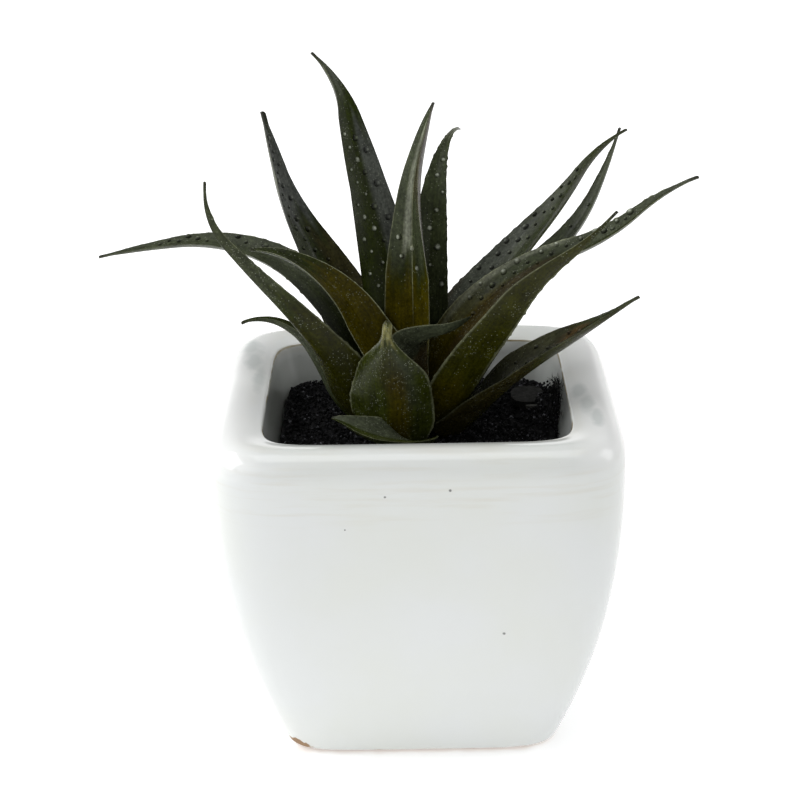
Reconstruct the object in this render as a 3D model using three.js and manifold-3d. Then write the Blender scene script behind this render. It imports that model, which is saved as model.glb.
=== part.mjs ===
// A small imitation haworthia in a square glazed pot. Millimetres, +Z up, front at -Y.
// The origin is the middle of the pot's underside, on the surface it stands on.
import * as THREE from "three";
import { mergeVertices } from "three/addons/utils/BufferGeometryUtils.js";
import Module from "manifold-3d";

const wasm = await Module();
wasm.setup();

// Pot: a rounded square in plan whose sides bow in towards the foot.
const POT_HEIGHT = 60;
const POT_HALF_WIDTH = 35; // at its widest, just under the rim
const POT_WIDEST_Z = 51.5;
const POT_FOOT_HALF_WIDTH = 24;
const POT_SQUARENESS = 6.7; // superellipse exponent of the outside in plan
const FOOT_ROUND = 1.6;
const RIM_ROUND = { inwards: 4, down: 5 }; // rounding of the outer top edge
const RIM_FALL = 0.9; // how far the rim slopes down to its inner edge
const LIP_ROUND = 0.8; // rounding of the inner edge
const OPENING_HALF_WIDTH = 26;
const OPENING_SQUARENESS = 8.2;
const INSIDE_HALF_WIDTH = 24; // below the flare up to the opening
const FLARE_START_Z = 50; // where the inside starts to widen towards the opening
const WALL = 5; // least wall where the inside follows the outside
const FLOOR_Z = 6;
const FLOOR_ROUND = 3;
const ROUNDING_BENDS = [0, 30, 60, 90]; // degrees round each rounded edge
const OUTSIDE_RING_HEIGHTS = [10, 20, 30, 40, 49];
const INSIDE_RING_HEIGHTS = [FLOOR_Z + FLOOR_ROUND, 16, 28, FLARE_START_Z];
const CIRCLE = 2; // the squareness of a round ring
const PLAN_POINTS = 40;
const CORNER_CROWDING = 0.6; // below 1, plan points gather at the corners

// The grit that fills the pot, and the stem that stands in it.
const GAP = 0.3; // between pieces that touch
const SOIL_Z = 52; // mean level of the grit
const SOIL_ROUGHNESS = 0.4;
const SOIL_RIPPLES = [
  { x: 1.9, y: 0.7, start: 0 },
  { x: -0.9, y: 2.3, start: 1 },
];
const SOIL_DIP = 1.2; // pressed in round the stem
const SOIL_DIP_RADIUS = 9;
const SOIL_HEAP = { x: 24, y: 4, height: 3.2, widthX: 4, widthY: 9 }; // banked on the right wall
const SOIL_RING_SHARES = [1, 0.95, 0.84, 0.72, 0.6, 0.48, 0.36, 0.26, 0.12];
const STEM_RADIUS = 3.6;
const STEM_FOOT_Z = 38;
const STEM_SHOULDER_Z = 56;
const STEM_TOP_Z = 61;
const STEM_TOP_RADIUS = 1.2;
const STEM_SIDES = 20;

// Leaves: each is a keeled blade with a channelled inner face.
const BLADE_EDGE = 0.65; // thickness at the margins
const BLADE_THICKNESS = 2.6; // at the midrib, near the root
const BLADE_THINNING = 0.6; // exponent of the thinning towards the tip
const BLADE_CUP = 0.3; // how far the margins stand up, as a share of the half width
const BLADE_ROOT_SHARE = 0.75; // width at the root, as a share of the full width
const BLADE_FLARE_END = 0.25; // share of the length where the full width is reached
const BLADE_NECK = { start: 0.6, end: 0.95 }; // shares between which the blade narrows further
const BLADE_COLUMNS = [-1, -0.5, 0, 0.5, 1]; // across the blade, from margin to margin
const BLADE_RING_SPACING = 4.2;
const LEAST_BLADE_BANDS = 7;
const MARGIN_WAVE = 0.28; // the uneven, toothed margin steps in and out by this
const MIDRIB_SUBSTEPS = 6;
const CUT_GROWTH = 0.38; // leaves a gap of at least GAP round a cutting blade
const TUBERCLE_RADIUS = 0.7;
const TUBERCLE_HEIGHT = 0.4;
const TUBERCLE_SUNK = 0.25;
const TUBERCLE_SIDES = 3;
const TUBERCLE_ROWS = [0, 0.8, 0.3, 1, 0.5]; // places across a leaf's band, taken in turn
const TUBERCLE_STATIONS = 200; // steps along the blade that places are rounded to

// turn: compass of the blade in plan, in degrees from +X towards +Y, from root to tip
// lift: degrees above level, from root to tip
// roll: twist of the blade about its midrib, from root to tip
// root: distance from the stem's axis and height of the midrib's start
// full: the higher, the further along the blade keeps its width
// taper: below 1 the tip is blunt, above 1 it is drawn out
// neck: share of its width that the blade loses before its tip
// tip: half width at the tip
// bumps: how many tubercles stand on the inner face
// bumpSpan, bumpBand: where they stand, along the blade and across it
const LEAVES = {
  leaf_tallest: {
    turn: [113, 125, 139, 149, 145, 188], lift: [70, 69, 73, 75, 76, 47], roll: [-19, -6],
    root: [3.6, 57.5], length: 62.3, width: 11.7, full: 2.43, taper: 0.79, neck: 0.19,
    tip: 0.4, bumps: 24, bumpSpan: [0.28, 0.76], bumpBand: [-0.65, 0.6],
  },
  leaf_centre: {
    turn: [100, 94, 92, 71, 49, 39], lift: [76, 84, 89, 86, 69, 66], roll: [-56, -23],
    root: [1, 59], length: 50.4, width: 12, full: 1.53, taper: 0.7, neck: -0.2,
    tip: 0.4, bumps: 4, bumpSpan: [0.41, 0.54], bumpBand: [-0.3, 0.65],
  },
  leaf_left_gold: {
    turn: [176, 171, 162, 170, 179, 196], lift: [62, 58, 59, 42, 28, 4], roll: [-32, -12],
    root: [2, 58], length: 39.2, width: 11.3, full: 1.31, taper: 0.78, neck: 0.15,
    tip: 0.4, bumps: 0,
  },
  leaf_curled: {
    turn: [239, 265, 286, 311, 342, 375], lift: [82, 92, 83, 36, 13, 36], roll: [-20, -23],
    root: [3, 54], length: 28.6, width: 7.6, full: 2.38, taper: 0.56, neck: 0,
    tip: 0.4, bumps: 0,
  },
  leaf_back_left: {
    turn: [125, 129, 136, 157, 170, 166], lift: [16, 37, 51, 58, 77, 77], roll: [-18, -10],
    root: [3, 57], length: 60.7, width: 14.5, full: 1.26, taper: 0.73, neck: 0.07,
    tip: 0.85, bumps: 20, bumpSpan: [0.5, 0.93], bumpBand: [-0.4, 0.5],
  },
  leaf_back_right: {
    turn: [76, 74, 73, 76, 72, 71], lift: [82, 83, 80, 69, 35, -15], roll: [-6, 22],
    root: [6.5, 54], length: 57.4, width: 9.5, full: 1.51, taper: 0.98, neck: 0.39,
    tip: 0.4, bumps: 8, bumpSpan: [0.35, 0.8], bumpBand: [-0.7, 0.1],
  },
  leaf_right_high: {
    turn: [50, 39, 28, 22, 18, 17], lift: [59, 48, 43, 44, 55, 23], roll: [18, -15],
    root: [3.5, 57], length: 59.9, width: 13.1, full: 1.3, taper: 0.72, neck: 0.4,
    tip: 0.4, bumps: 22, bumpSpan: [0.32, 0.82], bumpBand: [0.1, 0.85],
  },
  leaf_right_slim: {
    turn: [46, 40, 33, 26, 29, 35], lift: [45, 43, 39, 36, 61, 67], roll: [6, 4],
    root: [4, 54], length: 62.6, width: 10.4, full: 1.17, taper: 0.86, neck: 0.27,
    tip: 0.3, bumps: 5, bumpSpan: [0.4, 0.8], bumpBand: [-0.4, 0.4],
  },
  leaf_right_long: {
    turn: [2, 2, 3, 2, 15, 21], lift: [83, 59, 37, 19, 36, 12], roll: [31, 17],
    root: [3, 56], length: 64.4, width: 13.2, full: 0.98, taper: 1.15, neck: -0.2,
    tip: 0.4, bumps: 24, bumpSpan: [0.27, 0.8], bumpBand: [0.1, 0.85],
  },
  leaf_left_long: {
    turn: [156, 154, 156, 165, 180, 194], lift: [66, 54, 39, 13, -7, -9], roll: [-24, -12],
    root: [4, 54], length: 67.8, width: 10.8, full: 1.14, taper: 0.81, neck: 0.19,
    tip: 0.33, bumps: 14, bumpSpan: [0.5, 0.85], bumpBand: [-0.85, -0.1],
  },
  leaf_left_hooked: {
    turn: [208, 211, 196, 196, 201, 192], lift: [30, 62, 54, 49, 51, 97], roll: [57, 10],
    root: [4.5, 53], length: 58.7, width: 12.5, full: 0.9, taper: 1.05, neck: -0.2,
    tip: 0.3, bumps: 0,
  },
  leaf_front_right: {
    turn: [315, 324, 324, 328, 350, 372], lift: [44, 58, 53, 56, 39, 44], roll: [-10, -15],
    root: [4, 54], length: 54.1, width: 13.3, full: 1.99, taper: 0.96, neck: 0.63,
    tip: 0.4, bumps: 0,
  },
  leaf_left_small: {
    turn: [193, 188, 183, 182, 183, 188], lift: [3, 41, 66, 57, 25, -24], roll: [-4, -5],
    root: [4, 53.5], length: 35.6, width: 6.7, full: 1.4, taper: 0.93, neck: 0.26,
    tip: 0.4, bumps: 0,
  },
  leaf_right_low: {
    turn: [331, 337, 354, 348, 346, 345], lift: [34, 48, 38, 33, 35, 32], roll: [-3, 16],
    root: [5, 52.5], length: 43.6, width: 11.8, full: 1.96, taper: 1.03, neck: 0.75,
    tip: 0.4, bumps: 8, bumpSpan: [0.35, 0.75], bumpBand: [-0.4, 0.6],
  },
  leaf_front_short: {
    turn: [246, 266, 272, 258, 252, 245], lift: [55, 70, 82, 78, 82, 110], roll: [-10, -13],
    root: [10, 52], length: 25.1, width: 14.9, full: 3, taper: 0.65, neck: 0.75,
    tip: 1, bumps: 0,
  },
  leaf_front_lying: {
    turn: [269, 244, 205, 182, 175, 181], lift: [31, 23, 20, 19, 26, 15], roll: [3, -18],
    root: [11, 53], length: 19.5, width: 9.5, full: 2.61, taper: 0.79, neck: 0.27,
    tip: 0.35, bumps: 0,
  },
  leaf_low_back: {
    turn: [98, 95, 92], lift: [34, 42, 36, 26], roll: [0, 0],
    root: [4, 53.5], length: 40, width: 10.5, full: 1.4, taper: 0.8, neck: 0.2,
    tip: 0.4, bumps: 8, bumpSpan: [0.4, 0.85], bumpBand: [-0.5, 0.6],
  },
  leaf_low_back_left: {
    turn: [143, 144, 145], lift: [26, 33, 29, 22], roll: [0, 0],
    root: [4.5, 52.5], length: 26, width: 10, full: 1.4, taper: 0.8, neck: 0.2,
    tip: 0.4, bumps: 8, bumpSpan: [0.4, 0.85], bumpBand: [-0.5, 0.6],
  },
  leaf_low_back_right: {
    turn: [68, 64, 62], lift: [30, 38, 34, 26], roll: [0, 0],
    root: [4.5, 52.5], length: 30, width: 10, full: 1.4, taper: 0.8, neck: 0.2,
    tip: 0.4, bumps: 8, bumpSpan: [0.4, 0.85], bumpBand: [-0.5, 0.6],
  },
};

const MERGE_DISTANCE = 1e-4; // points nearer than this are one

const COLOURS = {
  glaze: { color: 0xe9ebe8, roughness: 0.12, metalness: 0 },
  grit: { color: 0x15151a, roughness: 0.85, metalness: 0 },
  stem: { color: 0x6b6230, roughness: 0.6, metalness: 0 },
  leaf: { color: 0x2f3c1e, roughness: 0.4, metalness: 0 },
};

const part = new THREE.Group();

// Closed solids from lists of points and triangles, and back.
function solidFrom(points, triangles) {
  const geometry = new THREE.BufferGeometry();
  const flat = points.flatMap((point) => point.toArray());
  geometry.setAttribute("position", new THREE.Float32BufferAttribute(flat, 3));
  geometry.setIndex(triangles);
  return solidOf(geometry);
}

function solidOf(geometry) {
  const bare = geometry.clone();
  bare.deleteAttribute("normal");
  bare.deleteAttribute("uv");
  const merged = mergeVertices(bare, MERGE_DISTANCE);
  return new wasm.Manifold(
    new wasm.Mesh({
      numProp: 3,
      vertProperties: new Float32Array(merged.attributes.position.array),
      triVerts: new Uint32Array(merged.index.array),
    }),
  );
}

function largestBody(solid) {
  const bodies = solid.decompose();
  return bodies.reduce((best, body) => (body.volume() > best.volume() ? body : best));
}

function addMesh(name, solid, finish) {
  const mesh = solid.getMesh();
  const geometry = new THREE.BufferGeometry();
  geometry.setAttribute("position", new THREE.BufferAttribute(mesh.vertProperties, 3));
  geometry.setIndex(new THREE.BufferAttribute(mesh.triVerts, 1));
  geometry.computeVertexNormals();
  const node = new THREE.Mesh(geometry, new THREE.MeshStandardMaterial(COLOURS[finish]));
  node.name = name;
  part.add(node);
}

// A ring of points on a rounded square. Squareness 2 is a circle.
function planRing(halfWidth, squareness, heightAt) {
  const ring = [];
  for (let i = 0; i < PLAN_POINTS; i += 1) {
    const angle = ((i + 0.5) / PLAN_POINTS) * Math.PI * 2;
    const crowd = (value) => Math.sign(value) * Math.abs(value) ** CORNER_CROWDING;
    const direction = Math.atan2(crowd(Math.sin(angle)), crowd(Math.cos(angle)));
    const spread =
      Math.abs(Math.cos(direction)) ** squareness + Math.abs(Math.sin(direction)) ** squareness;
    const radius = halfWidth / spread ** (1 / squareness);
    const x = radius * Math.cos(direction);
    const y = radius * Math.sin(direction);
    ring.push(new THREE.Vector3(x, y, heightAt(x, y)));
  }
  return ring;
}

const level = (z) => () => z;

// Skin over rings that run up the outside, with both ends capped.
function loft(rings) {
  const points = rings.flat();
  const size = rings[0].length;
  const triangles = [];
  for (let band = 0; band < rings.length - 1; band += 1) {
    const lower = band * size;
    const upper = lower + size;
    for (let i = 0; i < size; i += 1) {
      const next = (i + 1) % size;
      triangles.push(lower + i, lower + next, upper + next);
      triangles.push(lower + i, upper + next, upper + i);
    }
  }
  const last = (rings.length - 1) * size;
  for (let i = 1; i < size - 1; i += 1) {
    triangles.push(0, i + 1, i);
    triangles.push(last, last + i, last + i + 1);
  }
  return solidFrom(points, triangles);
}

// Pot.
function outerHalfWidth(z) {
  const below = Math.max(POT_WIDEST_Z - z, 0) / POT_WIDEST_Z;
  return POT_HALF_WIDTH - (POT_HALF_WIDTH - POT_FOOT_HALF_WIDTH) * below ** 2;
}

function innerHalfWidth(z) {
  const lipFoot = POT_HEIGHT - RIM_FALL - LIP_ROUND;
  const flare = Math.max(z - FLARE_START_Z, 0) / (lipFoot - FLARE_START_Z);
  const halfWidth = THREE.MathUtils.lerp(INSIDE_HALF_WIDTH, OPENING_HALF_WIDTH, flare);
  return Math.min(halfWidth, outerHalfWidth(z) - WALL);
}

function potSolid() {
  const outer = (halfWidth, z) => planRing(halfWidth, POT_SQUARENESS, level(z));
  const inner = (halfWidth, z) => planRing(halfWidth, OPENING_SQUARENESS, level(z));
  const rings = [];
  for (const bend of ROUNDING_BENDS) {
    const angle = THREE.MathUtils.degToRad(bend);
    const z = FOOT_ROUND * (1 - Math.cos(angle));
    rings.push(outer(outerHalfWidth(z) - FOOT_ROUND * (1 - Math.sin(angle)), z));
  }
  for (const z of OUTSIDE_RING_HEIGHTS) {
    rings.push(outer(outerHalfWidth(z), z));
  }
  for (const bend of ROUNDING_BENDS) {
    const angle = THREE.MathUtils.degToRad(bend);
    const z = POT_HEIGHT - RIM_ROUND.down * (1 - Math.sin(angle));
    rings.push(outer(POT_HALF_WIDTH - RIM_ROUND.inwards * (1 - Math.cos(angle)), z));
  }
  rings.push(inner(OPENING_HALF_WIDTH + LIP_ROUND, POT_HEIGHT - RIM_FALL));
  rings.push(inner(OPENING_HALF_WIDTH, POT_HEIGHT - RIM_FALL - LIP_ROUND));
  for (const z of [...INSIDE_RING_HEIGHTS].reverse()) {
    rings.push(inner(innerHalfWidth(z), z));
  }
  rings.push(inner(innerHalfWidth(FLOOR_Z) - FLOOR_ROUND, FLOOR_Z));
  return loft(rings);
}

// A plain round hole for the stem, from a height upwards.
function stemHole(bottomZ) {
  const height = POT_HEIGHT - bottomZ;
  const drill = new THREE.CylinderGeometry(
    STEM_RADIUS + GAP, STEM_RADIUS + GAP, height, STEM_SIDES,
  );
  drill.rotateX(Math.PI / 2);
  drill.translate(0, 0, bottomZ + height / 2);
  return solidOf(drill);
}

// Height of the grit: a shallow dip round the stem, a heap on the right wall and a rough top.
function soilHeight(x, y) {
  const dip = SOIL_DIP * Math.exp(-((Math.hypot(x, y) / SOIL_DIP_RADIUS) ** 2));
  const heapX = (x - SOIL_HEAP.x) / SOIL_HEAP.widthX;
  const heapY = (y - SOIL_HEAP.y) / SOIL_HEAP.widthY;
  const heap = SOIL_HEAP.height * Math.exp(-(heapX ** 2) - heapY ** 2);
  const height = (wave) => Math.sin(wave.x * x + wave.y * y + wave.start);
  const ripple = SOIL_RIPPLES.reduce((sum, wave) => sum + height(wave), 0);
  return SOIL_Z - dip + heap + (SOIL_ROUGHNESS * ripple) / SOIL_RIPPLES.length;
}

function soilSolid() {
  const ring = (halfWidth, heightAt) => planRing(halfWidth - GAP, OPENING_SQUARENESS, heightAt);
  const rings = [ring(innerHalfWidth(FLOOR_Z) - FLOOR_ROUND, level(FLOOR_Z + GAP))];
  for (const z of INSIDE_RING_HEIGHTS) {
    rings.push(ring(innerHalfWidth(z), level(z)));
  }
  for (const share of SOIL_RING_SHARES) {
    const squareness = THREE.MathUtils.lerp(CIRCLE, OPENING_SQUARENESS, share ** 2);
    rings.push(planRing((INSIDE_HALF_WIDTH - GAP) * share, squareness, soilHeight));
  }
  return loft(rings).subtract(stemHole(STEM_FOOT_Z - GAP));
}

function stemSolid(growth) {
  const profile = [
    [0, STEM_FOOT_Z],
    [STEM_RADIUS + growth, STEM_FOOT_Z],
    [STEM_RADIUS + growth, STEM_SHOULDER_Z],
    [STEM_TOP_RADIUS + growth, STEM_TOP_Z + growth],
    [0, STEM_TOP_Z + growth],
  ].map(([radius, z]) => new THREE.Vector2(radius, z));
  const turned = new THREE.LatheGeometry(profile, STEM_SIDES);
  turned.rotateX(Math.PI / 2);
  return solidOf(turned);
}

// The value at a share of the way along values that are evenly spaced from root to tip.
function along(values, share) {
  const place = share * (values.length - 1);
  const index = Math.min(Math.floor(place), values.length - 2);
  return THREE.MathUtils.lerp(values[index], values[index + 1], place - index);
}

// Directions of the blade: along it, across it, and out of its inner face.
function bladeAxes(leaf, share) {
  const turn = THREE.MathUtils.degToRad(along(leaf.turn, share));
  const lift = THREE.MathUtils.degToRad(along(leaf.lift, share));
  const roll = THREE.MathUtils.degToRad(along(leaf.roll, share));
  const forward = new THREE.Vector3(
    Math.cos(lift) * Math.cos(turn),
    Math.cos(lift) * Math.sin(turn),
    Math.sin(lift),
  );
  const across = new THREE.Vector3(-Math.sin(turn), Math.cos(turn), 0).applyAxisAngle(forward, roll);
  const face = new THREE.Vector3().crossVectors(forward, across);
  return { forward, across, face };
}

// Evenly spaced points of the midrib.
function midribPoints(leaf, rings) {
  const [radius, height] = leaf.root;
  const turn = THREE.MathUtils.degToRad(leaf.turn[0]);
  const point = new THREE.Vector3(radius * Math.cos(turn), radius * Math.sin(turn), height);
  const points = [point.clone()];
  const steps = (rings - 1) * MIDRIB_SUBSTEPS;
  for (let i = 0; i < steps; i += 1) {
    point.addScaledVector(bladeAxes(leaf, (i + 0.5) / steps).forward, leaf.length / steps);
    if ((i + 1) % MIDRIB_SUBSTEPS === 0) points.push(point.clone());
  }
  return points;
}

function halfWidthAt(leaf, share) {
  const flare = THREE.MathUtils.smoothstep(share, 0, BLADE_FLARE_END);
  const opened = THREE.MathUtils.lerp(BLADE_ROOT_SHARE, 1, flare);
  const drawnIn = (1 - share ** leaf.full) ** leaf.taper;
  const necked = 1 - leaf.neck * THREE.MathUtils.smoothstep(share, BLADE_NECK.start, BLADE_NECK.end);
  return Math.max((leaf.width / 2) * opened * drawnIn * necked, leaf.tip);
}

function thicknessAt(share, column) {
  const middle = Math.max(BLADE_THICKNESS * (1 - share) ** BLADE_THINNING, BLADE_EDGE);
  return BLADE_EDGE + (middle - BLADE_EDGE) * (1 - column ** 2);
}

// The inner and outer points of a blade at a share of its length and a place across it.
function bladePair(leaf, middle, share, column, growth, wave) {
  const { across, face } = bladeAxes(leaf, share);
  const halfWidth = halfWidthAt(leaf, share);
  const reach = column * (halfWidth + growth) + Math.sign(column) * wave;
  const height = halfWidth * BLADE_CUP * column ** 2;
  const inner = middle.clone().addScaledVector(across, reach).addScaledVector(face, height + growth);
  const outer = inner.clone().addScaledVector(face, -thicknessAt(share, column) - 2 * growth);
  return { inner, outer };
}

function bladeSolid(leaf, growth) {
  const bands = Math.max(Math.round(leaf.length / BLADE_RING_SPACING), LEAST_BLADE_BANDS);
  const rings = bands + 1;
  const columns = BLADE_COLUMNS.length;
  const midrib = midribPoints(leaf, rings);
  const points = [];
  for (let ring = 0; ring < rings; ring += 1) {
    const share = ring / (rings - 1);
    for (const column of BLADE_COLUMNS) {
      const steps = Math.abs(column) === 1 && ring % 2 === 1 && ring < rings - 1;
      const wave = steps ? MARGIN_WAVE : 0;
      const pair = bladePair(leaf, midrib[ring], share, column, growth, wave);
      points.push(pair.inner, pair.outer);
    }
  }
  const innerAt = (ring, column) => 2 * (ring * columns + column);
  const outerAt = (ring, column) => innerAt(ring, column) + 1;
  const triangles = [];
  const quad = (a, b, c, d) => triangles.push(a, b, c, a, c, d);
  for (let ring = 0; ring < rings - 1; ring += 1) {
    for (let i = 0; i < columns - 1; i += 1) {
      quad(innerAt(ring, i), innerAt(ring + 1, i), innerAt(ring + 1, i + 1), innerAt(ring, i + 1));
      triangles.push(outerAt(ring, i), outerAt(ring + 1, i + 1), outerAt(ring + 1, i));
      triangles.push(outerAt(ring, i), outerAt(ring, i + 1), outerAt(ring + 1, i + 1));
    }
    const far = columns - 1;
    quad(innerAt(ring, far), innerAt(ring + 1, far), outerAt(ring + 1, far), outerAt(ring, far));
    quad(innerAt(ring, 0), outerAt(ring, 0), outerAt(ring + 1, 0), innerAt(ring + 1, 0));
  }
  const tip = rings - 1;
  for (let i = 0; i < columns - 1; i += 1) {
    quad(innerAt(0, i), innerAt(0, i + 1), outerAt(0, i + 1), outerAt(0, i));
    quad(innerAt(tip, i), outerAt(tip, i), outerAt(tip, i + 1), innerAt(tip, i + 1));
  }
  return solidFrom(points, triangles);
}

// A low pointed knob whose root is sunk in the blade.
function tubercle(leaf, share, column) {
  const stations = midribPoints(leaf, TUBERCLE_STATIONS + 1);
  const middle = stations[Math.round(share * TUBERCLE_STATIONS)];
  const pair = bladePair(leaf, middle, share, column, 0, 0);
  const { forward, face } = bladeAxes(leaf, share);
  const sideways = new THREE.Vector3().crossVectors(face, forward);
  const height = TUBERCLE_HEIGHT + TUBERCLE_SUNK;
  const knob = new THREE.ConeGeometry(TUBERCLE_RADIUS, height, TUBERCLE_SIDES);
  knob.translate(0, (TUBERCLE_HEIGHT - TUBERCLE_SUNK) / 2, 0);
  knob.applyMatrix4(new THREE.Matrix4().makeBasis(sideways, face, forward));
  knob.translate(...pair.inner.toArray());
  return solidOf(knob);
}

function withTubercles(blade, leaf) {
  let solid = blade;
  for (let i = 0; i < leaf.bumps; i += 1) {
    const share = THREE.MathUtils.lerp(...leaf.bumpSpan, (i + 0.5) / leaf.bumps);
    const column = THREE.MathUtils.lerp(...leaf.bumpBand, TUBERCLE_ROWS[i % TUBERCLE_ROWS.length]);
    solid = solid.add(tubercle(leaf, share, column));
  }
  return solid;
}

// The lowest, outermost leaves keep their whole root. Those inside are cut back to clear them.
const cutter = stemSolid(GAP);
const grownLeaves = [];
const leafSolids = new Map();
for (const [name, leaf] of Object.entries(LEAVES).reverse()) {
  let solid = withTubercles(bladeSolid(leaf, 0), leaf).subtract(cutter);
  for (const grown of grownLeaves) {
    solid = solid.subtract(grown);
  }
  leafSolids.set(name, largestBody(solid));
  grownLeaves.push(bladeSolid(leaf, CUT_GROWTH));
}

const soil = grownLeaves.reduce((rest, grown) => rest.subtract(grown), soilSolid());

addMesh("pot", potSolid(), "glaze");
addMesh("soil", largestBody(soil), "grit");
addMesh("stem", stemSolid(0), "stem");
for (const name of Object.keys(LEAVES)) {
  addMesh(name, leafSolids.get(name), "leaf");
}

export default part;
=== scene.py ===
"""A small imitation haworthia in a square glazed pot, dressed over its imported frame.

Lengths are in millimetres, except where a comment says metres, and the scene is in metres.
The origin is the middle of the pot's underside, +Z is up and the front faces -Y.
"""

import math

import bpy
import numpy as np
from mathutils import Matrix, Vector


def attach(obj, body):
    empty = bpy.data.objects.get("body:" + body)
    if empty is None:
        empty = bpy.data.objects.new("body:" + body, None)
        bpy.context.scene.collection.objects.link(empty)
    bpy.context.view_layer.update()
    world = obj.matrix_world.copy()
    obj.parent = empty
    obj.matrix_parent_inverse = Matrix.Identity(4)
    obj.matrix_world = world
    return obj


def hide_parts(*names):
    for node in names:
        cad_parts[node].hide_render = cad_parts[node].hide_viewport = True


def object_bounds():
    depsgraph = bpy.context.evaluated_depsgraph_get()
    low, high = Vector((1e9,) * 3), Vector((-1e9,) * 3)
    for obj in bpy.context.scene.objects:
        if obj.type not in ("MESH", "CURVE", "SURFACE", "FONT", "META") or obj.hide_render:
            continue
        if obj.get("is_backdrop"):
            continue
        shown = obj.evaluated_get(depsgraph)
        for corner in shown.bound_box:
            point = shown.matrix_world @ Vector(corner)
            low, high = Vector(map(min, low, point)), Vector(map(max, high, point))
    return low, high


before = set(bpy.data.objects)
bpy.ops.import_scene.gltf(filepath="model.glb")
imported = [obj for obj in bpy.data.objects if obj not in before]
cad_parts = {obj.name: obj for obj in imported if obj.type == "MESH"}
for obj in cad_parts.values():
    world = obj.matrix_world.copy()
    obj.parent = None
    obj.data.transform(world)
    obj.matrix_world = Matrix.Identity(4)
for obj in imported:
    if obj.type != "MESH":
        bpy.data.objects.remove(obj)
cad_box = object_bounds()

MM = 0.001
rng = np.random.default_rng(7)

# Camera, fitted to the pot's outline in the photograph.
IMAGE_SIZE = 800
SENSOR_WIDTH = 36.0
FOCAL_PIXELS = 2064.0
CAMERA_DISTANCE = 363.0
CAMERA_ELEVATION = 20.1
CAMERA_ROLL = -0.9
CAMERA_TARGET = (0.0, 0.0, 59.0)
PRINCIPAL_POINT = (416.7, 388.2)

# Pot.
POT_HEIGHT = 60.0
POT_HALF_WIDTH = 35.0
POT_WIDEST_Z = 51.5
POT_FOOT_HALF_WIDTH = 24.0
POT_SQUARENESS = 6.7
FOOT_ROUND = 1.6
RIM_ROUND_INWARDS = 4.0
RIM_ROUND_DOWN = 5.0
RIM_FALL = 0.9
LIP_ROUND = 0.8
OPENING_HALF_WIDTH = 26.0
OPENING_SQUARENESS = 8.2
INSIDE_HALF_WIDTH = 24.0
FLARE_START_Z = 50.0
WALL = 5.0
FLOOR_Z = 6.0
# How steeply the rim's top falls inwards, as an exponent.
RIM_FALL_BEND = 1.6
# The part of the lip's bend that carries a buff line.
LIP_LINE_DEGREES = (45, 75)
# Points in a ring, and the exponent below 1 that crowds them towards its corners.
PLAN_POINTS = 200
CORNER_CROWDING = 0.6

# Glaze, in linear colours.
GLAZE_COLOURS = ((0.70, 0.72, 0.69), (0.71, 0.73, 0.725))
# Painted shade: the inside walls are darker and greyer than the glaze.
INSIDE_SHADE_COLOUR = (0.50, 0.52, 0.50)
LIP_COLOUR = (0.27, 0.22, 0.12)
# A warmer band with level streaks under the rim.
UNDER_RIM_COLOUR = (0.62, 0.60, 0.52)
UNDER_RIM_Z = (47, 51)
# Painted light: whiter shoulders at the left and right of the rim. The spans say where they fade
# in, sideways and upwards.
SHOULDER_LIGHT_COLOUR = (0.86, 0.87, 0.86)
SHOULDER_LIGHT_X = (25.0, 31.0)
SHOULDER_LIGHT_Z = (55, 58.5)
# Bare clay: the edge of the foot, and a chip with its middle and radius.
CLAY_COLOUR = (0.30, 0.185, 0.10)
FOOT_EDGE_Z = (0.8, 1.1)
CHIP = ((-21.5, -22.5, 0.5), 5.0)
GLAZE_ROUGHNESS = 0.09
CLAY_ROUGHNESS = 0.75
# Dark pinholes: a point and a radius.
PINHOLE_COLOUR = (0.035, 0.035, 0.037)
PINHOLES = (
    ((-30.0, -35.0, 50.8), 0.3),
    ((-5.4, -35.0, 53.2), 0.22),
    ((5.1, -35.0, 54.2), 0.22),
    ((22.8, -33.9, 58.4), 0.25),
    ((13.9, -32.7, 27.2), 0.3),
    ((-12.0, -34.9, 47.5), 0.15),
    ((-23.3, 25.2, 55.8), 1.1),
    ((-22.0, 25.1, 56.3), 0.7),
    ((-22.6, 25.0, 53.7), 0.5),
    ((-21.6, 25.0, 53.9), 0.35),
)
# Painted reflections: grey smears on the rim, each a point and how far it reaches along x, y and
# z.
REFLECTION_SMEAR_COLOUR = (0.42, 0.47, 0.46)
REFLECTION_SMEARS = (
    ((-30.6, 20.0, 59.5), (3.0, 9.0, 4.0)),
    ((-29.4, 14.0, 59.4), (2.6, 12.0, 4.0)),
    ((-28.0, 6.0, 59.3), (2.0, 12.0, 4.0)),
    ((28.2, -4.0, 59.3), (2.6, 6.0, 4.0)),
    ((29.2, -11.0, 59.4), (2.2, 9.0, 4.0)),
    ((30.2, -18.0, 59.5), (1.8, 9.0, 4.0)),
)

# Grit.
SOIL_Z = 52.0
SOIL_DIP = 1.2
SOIL_DIP_RADIUS = 9.0
SOIL_HEAP = {"x": 24.0, "y": 4.0, "height": 3.2, "width_x": 4.0, "width_y": 9.0}
SOIL_WAVES = 0.2
SOIL_UNEVENNESS = 0.16
SOIL_DEPTH = 6.0
SOIL_WALL_GAP = 0.1
SOIL_COLOUR = (0.002, 0.002, 0.0025, 1.0)
SOIL_RINGS = 44
GRAIN_COUNT = 9000
GRAIN_SIZES = (0.13, 0.36)
GRAIN_SHADES = (0.002, 0.006, 0.022, 0.09)
GRAIN_SHADE_ODDS = (0.45, 0.3, 0.2, 0.05)
GRAIN_WALL_GAP = 0.4
# Grit that has stuck to the right wall, and its highest point.
CLUMP_GRAINS = 420
CLUMP_TOP_Z = 57.5
CLUMP_WALL_GAP = 0.45
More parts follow.
